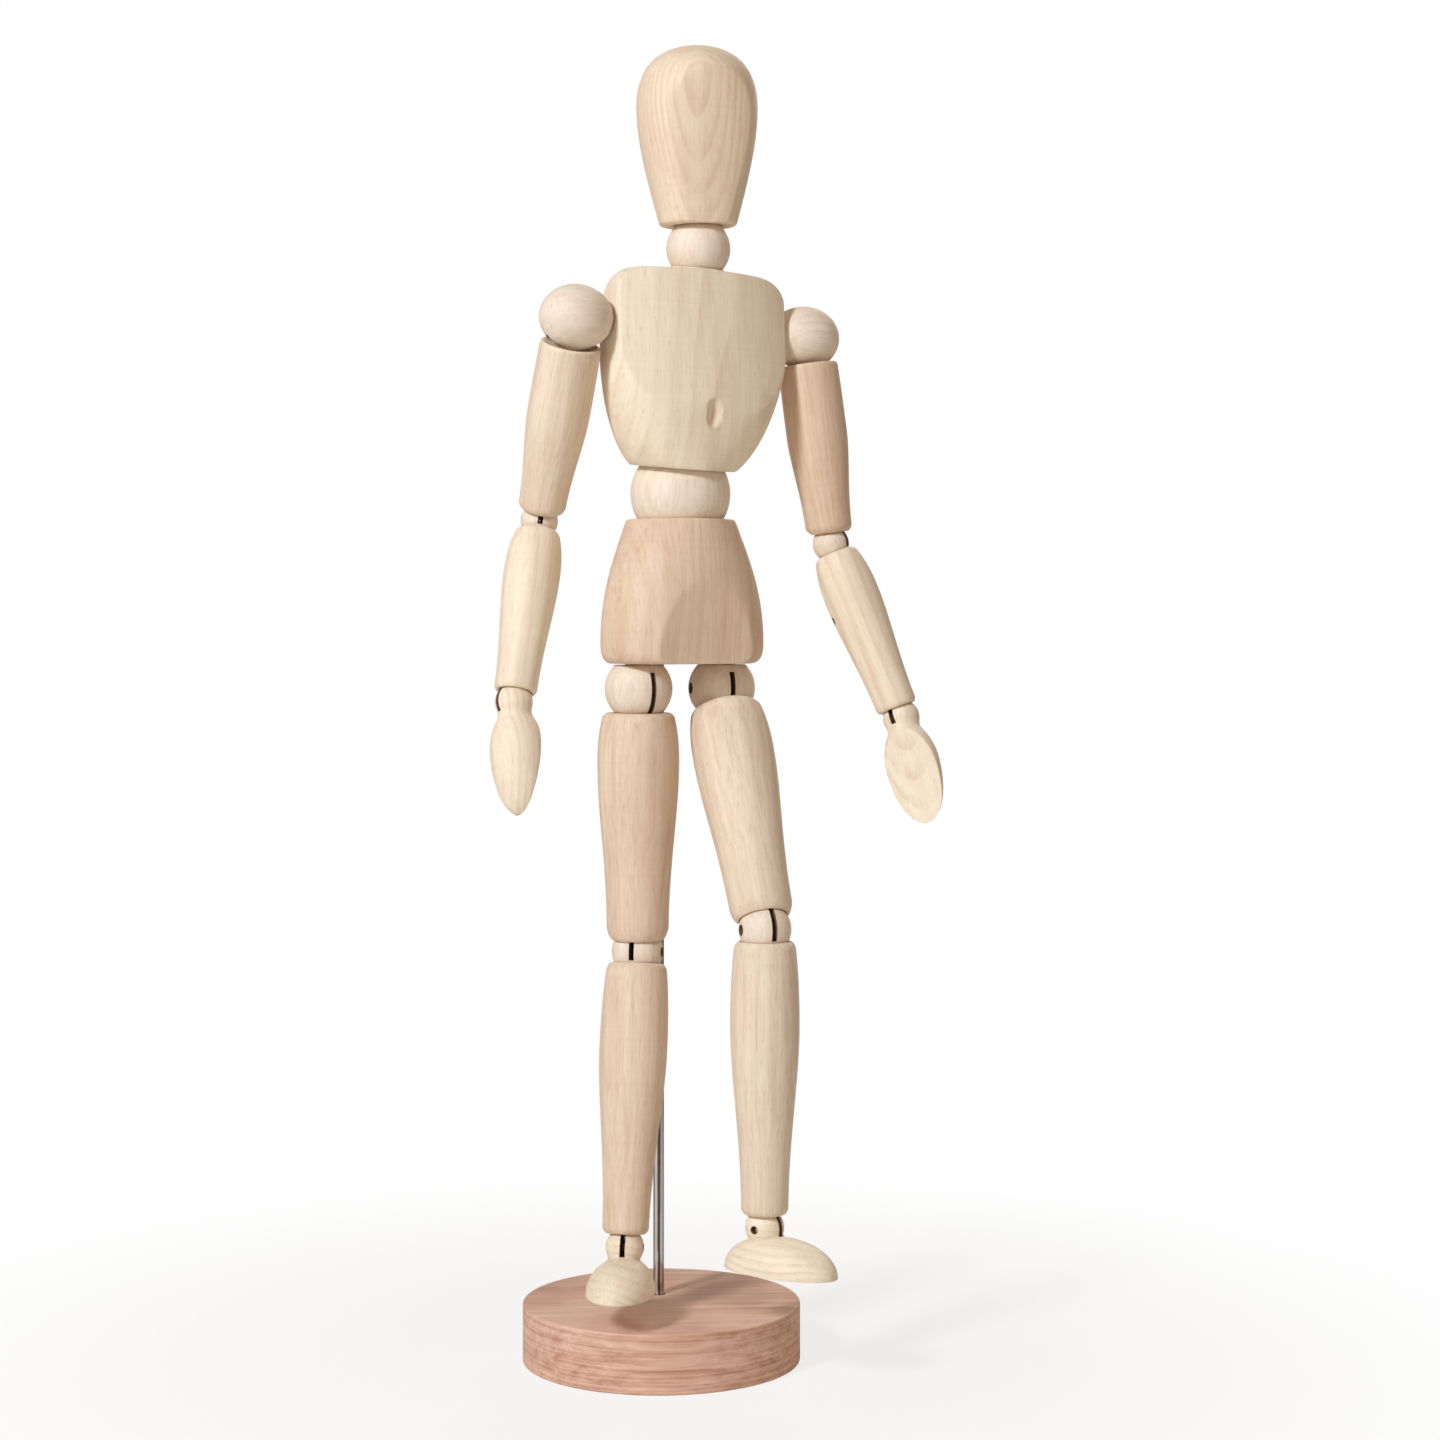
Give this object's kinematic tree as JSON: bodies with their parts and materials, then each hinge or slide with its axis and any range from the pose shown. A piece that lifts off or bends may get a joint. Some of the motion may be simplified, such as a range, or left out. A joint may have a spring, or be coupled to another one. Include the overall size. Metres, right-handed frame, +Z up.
{
  "type": "artist's mannequin",
  "caption": "Jointed wooden drawing figure on a round base, its ball-jointed limbs held by hidden springs and its body turning on a steel rod.",
  "frame": {"origin": "centre of the base's underside", "axes": "+Z up along the rod, the figure faces -Y and its own right-hand side is -X"},
  "size_m": [0.1004, 0.0813, 0.2968],
  "materials": {
    "pale_wood": "sanded, clear satin lacquer",
    "ball_wood": "sanded, clear satin lacquer",
    "base_wood": "sanded, clear satin lacquer",
    "bright_steel": "drawn bright wire",
    "spring_steel": "plain spring wire"
  },
  "bodies": {
    "stand": {"base": "base_wood", "support_rod": "bright_steel"},
    "pelvis": {"pelvis": "pale_wood", "pelvis_pin": "bright_steel"},
    "waist_ball": {"waist_ball": "ball_wood"},
    "waist_spring": {"waist_spring": "spring_steel"},
    "chest": {"chest": "pale_wood", "shoulder_spring": "spring_steel"},
    "neck_ball": {"neck_ball": "ball_wood"},
    "neck_spring": {"neck_spring": "spring_steel"},
    "head": {"head": "pale_wood", "head_pin": "bright_steel"},
    "left_shoulder_ball": {"left_shoulder_ball": "ball_wood", "left_shoulder_pin": "bright_steel"},
    "left_upper_arm_spring": {"left_upper_arm_spring": "spring_steel"},
    "left_upper_arm": {"left_upper_arm": "pale_wood"},
    "left_forearm": {"left_forearm": "pale_wood", "left_elbow_ball": "ball_wood", "left_elbow_pin": "bright_steel", "left_forearm_pin": "bright_steel"},
    "left_forearm_spring": {"left_forearm_spring": "spring_steel"},
    "left_hand": {"left_hand": "pale_wood", "left_wrist_pin": "bright_steel"},
    "left_hip_ball": {"left_hip_ball": "ball_wood", "left_hip_pin": "bright_steel"},
    "left_thigh_spring": {"left_thigh_spring": "spring_steel"},
    "left_thigh": {"left_thigh": "pale_wood"},
    "left_shin": {"left_shin": "pale_wood", "left_knee_ball": "ball_wood", "left_knee_pin": "bright_steel", "left_shin_pin": "bright_steel"},
    "left_shin_spring": {"left_shin_spring": "spring_steel"},
    "left_foot": {"left_foot": "pale_wood", "left_ankle_pin": "bright_steel"},
    "right_shoulder_ball": {"right_shoulder_ball": "ball_wood", "right_shoulder_pin": "bright_steel"},
    "right_upper_arm_spring": {"right_upper_arm_spring": "spring_steel"},
    "right_upper_arm": {"right_upper_arm": "pale_wood"},
    "right_forearm": {"right_forearm": "pale_wood", "right_elbow_ball": "ball_wood", "right_elbow_pin": "bright_steel", "right_forearm_pin": "bright_steel"},
    "right_forearm_spring": {"right_forearm_spring": "spring_steel"},
    "right_hand": {"right_hand": "pale_wood", "right_wrist_pin": "bright_steel"},
    "right_hip_ball": {"right_hip_ball": "ball_wood", "right_hip_pin": "bright_steel"},
    "right_thigh_spring": {"right_thigh_spring": "spring_steel"},
    "right_thigh": {"right_thigh": "pale_wood"},
    "right_shin": {"right_shin": "pale_wood", "right_knee_ball": "ball_wood", "right_knee_pin": "bright_steel", "right_shin_pin": "bright_steel"},
    "right_shin_spring": {"right_shin_spring": "spring_steel"},
    "right_foot": {"right_foot": "pale_wood", "right_ankle_pin": "bright_steel"}
  },
  "joints": [
    {"name": "figure_turn", "type": "hinge", "parent": "stand", "child": "pelvis", "pos_m": [0.0022, 0.0056, 0.15805], "axis": [0, 0, 1], "continuous": true},
    {"name": "waist_lean", "type": "hinge", "parent": "pelvis", "child": "waist_ball", "pos_m": [0.0022, -0.005, 0.1964], "axis": [0, 1, 0], "range_deg": [-13.8, 13.2]},
    {"name": "waist_twist", "type": "hinge", "parent": "waist_ball", "child": "waist_spring", "pos_m": [0.0022, -0.005, 0.1964], "axis": [0.0314, 0, 0.9995], "range_deg": [-60, 60], "deforming": ["waist_spring"]},
    {"name": "waist_bend", "type": "hinge", "parent": "waist_spring", "child": "chest", "pos_m": [0.0022, -0.005, 0.1964], "axis": [0.9995, 0, -0.0314], "range_deg": [-25.5, 29.5]},
    {"name": "neck_tilt", "type": "hinge", "parent": "chest", "child": "neck_ball", "pos_m": [0.00393, -0.0103, 0.25137], "axis": [0.003, 0.9954, 0.0958], "range_deg": [-20.4, 29.6]},
    {"name": "neck_turn", "type": "hinge", "parent": "neck_ball", "child": "neck_spring", "pos_m": [0.00393, -0.0103, 0.25137], "axis": [-0.049, -0.0955, 0.9942], "range_deg": [-59, 101], "deforming": ["neck_spring"]},
    {"name": "neck_nod", "type": "hinge", "parent": "neck_spring", "child": "head", "pos_m": [0.00393, -0.0103, 0.25137], "axis": [0.9314, -0.3639, 0.0109], "range_deg": [-19.5, 30.5]},
    {"name": "left_shoulder_swing", "type": "hinge", "parent": "chest", "child": "left_shoulder_ball", "pos_m": [0.03266, -0.0086, 0.23284], "axis": [-0.9995, 0, 0.0314], "range_deg": [-68.5, 151.5], "deforming": ["shoulder_spring"]},
    {"name": "left_arm_lift", "type": "hinge", "parent": "left_shoulder_ball", "child": "left_upper_arm_spring", "pos_m": [0.03266, -0.0086, 0.23284], "axis": [0.0016, -0.9986, 0.0523], "range_deg": [-9.6, 36.4]},
    {"name": "left_arm_turn", "type": "hinge", "parent": "left_upper_arm_spring", "child": "left_upper_arm", "pos_m": [0.03266, -0.0086, 0.23284], "axis": [-0.1184, 0.0517, 0.9916], "range_deg": [-94, 26], "deforming": ["left_upper_arm_spring"]},
    {"name": "left_elbow", "type": "hinge", "parent": "left_upper_arm", "child": "left_forearm", "pos_m": [0.03832, -0.01107, 0.18544], "axis": [-0.8223, -0.5649, -0.0687], "range_deg": [-76, 29]},
    {"name": "left_hand_turn", "type": "hinge", "parent": "left_forearm", "child": "left_forearm_spring", "pos_m": [0.04987, -0.02303, 0.14556], "axis": [-0.2673, 0.2767, 0.923], "range_deg": [-69, 81], "deforming": ["left_forearm_spring"]},
    {"name": "left_wrist", "type": "hinge", "parent": "left_forearm_spring", "child": "left_hand", "pos_m": [0.04987, -0.02303, 0.14556], "axis": [-0.4137, 0.8322, -0.3693], "range_deg": [-46, 14]},
    {"name": "left_hip_turn", "type": "hinge", "parent": "pelvis", "child": "left_hip_ball", "pos_m": [0.01285, -0.005, 0.15245], "axis": [0, 0, 1], "range_deg": [-21.4, 38.6]},
    {"name": "left_hip_swing", "type": "hinge", "parent": "left_hip_ball", "child": "left_thigh_spring", "pos_m": [0.01285, -0.005, 0.15245], "axis": [-0.9888, 0.1495, 0], "range_deg": [-47.5, 42.5]},
    {"name": "left_thigh_turn", "type": "hinge", "parent": "left_thigh_spring", "child": "left_thigh", "pos_m": [0.01285, -0.005, 0.15245], "axis": [0.069, 0.4566, 0.887], "range_deg": [-61, 59], "deforming": ["left_thigh_spring"]},
    {"name": "left_knee", "type": "hinge", "parent": "left_thigh", "child": "left_shin", "pos_m": [0.00878, -0.03194, 0.10012], "axis": [-0.9909, 0.1342, 0.0081], "range_deg": [-33.5, 66.5]},
    {"name": "left_foot_turn", "type": "hinge", "parent": "left_shin", "child": "left_shin_spring", "pos_m": [0.0081, -0.03299, 0.03513], "axis": [0.0103, 0.0162, 0.9998], "range_deg": [-94, 26], "deforming": ["left_shin_spring"]},
    {"name": "left_ankle", "type": "hinge", "parent": "left_shin_spring", "child": "left_foot", "pos_m": [0.0081, -0.03299, 0.03513], "axis": [-0.8965, -0.4428, 0.0164], "range_deg": [-24, 26]},
    {"name": "right_shoulder_swing", "type": "hinge", "parent": "chest", "child": "right_shoulder_ball", "pos_m": [-0.02591, -0.0086, 0.23468], "axis": [-0.9995, 0, 0.0314], "range_deg": [-44, 176]},
    {"name": "right_arm_lift", "type": "hinge", "parent": "right_shoulder_ball", "child": "right_upper_arm_spring", "pos_m": [-0.02591, -0.0086, 0.23468], "axis": [0.0115, 0.9304, 0.3663], "range_deg": [0, 46]},
    {"name": "right_arm_turn", "type": "hinge", "parent": "right_upper_arm_spring", "child": "right_upper_arm", "pos_m": [-0.02591, -0.0086, 0.23468], "axis": [0.0118, -0.3664, 0.9304], "range_deg": [-52, 28], "deforming": ["right_upper_arm_spring"]},
    {"name": "right_elbow", "type": "hinge", "parent": "right_upper_arm", "child": "right_forearm", "pos_m": [-0.02647, 0.00892, 0.19021], "axis": [-0.9159, 0.3694, 0.1571], "range_deg": [-98, 7]},
    {"name": "right_hand_turn", "type": "hinge", "parent": "right_forearm", "child": "right_forearm_spring", "pos_m": [-0.03755, -0.00132, 0.14972], "axis": [0.2563, 0.237, 0.9371], "range_deg": [-98, 52], "deforming": ["right_forearm_spring"]},
    {"name": "right_wrist", "type": "hinge", "parent": "right_forearm_spring", "child": "right_hand", "pos_m": [-0.03755, -0.00132, 0.14972], "axis": [0.0735, -0.9715, 0.2256], "range_deg": [-44, 16]},
    {"name": "right_hip_turn", "type": "hinge", "parent": "pelvis", "child": "right_hip_ball", "pos_m": [-0.00845, -0.005, 0.15245], "axis": [0, 0, -1], "range_deg": [-30, 30]},
    {"name": "right_hip_swing", "type": "hinge", "parent": "right_hip_ball", "child": "right_thigh_spring", "pos_m": [-0.00845, -0.005, 0.15245], "axis": [-1, 0, 0], "range_deg": [-19.5, 70.5]},
    {"name": "right_thigh_turn", "type": "hinge", "parent": "right_thigh_spring", "child": "right_thigh", "pos_m": [-0.00845, -0.005, 0.15245], "axis": [0, -0.0087, 1], "range_deg": [-33, 52], "deforming": ["right_thigh_spring"]},
    {"name": "right_knee", "type": "hinge", "parent": "right_thigh", "child": "right_shin", "pos_m": [-0.00845, -0.00449, 0.09345], "axis": [-0.7431, 0.6691, 0.0058], "range_deg": [-9, 31]},
    {"name": "right_foot_turn", "type": "hinge", "parent": "right_shin", "child": "right_shin_spring", "pos_m": [-0.01525, -0.01148, 0.02919], "axis": [0.1047, 0.1076, 0.9887], "range_deg": [-67, 53], "deforming": ["right_shin_spring"]},
    {"name": "right_ankle", "type": "hinge", "parent": "right_shin_spring", "child": "right_foot", "pos_m": [-0.01525, -0.01148, 0.02919], "axis": [-0.8181, 0.5745, 0.0241], "range_deg": [-18, 32]}
  ]
}
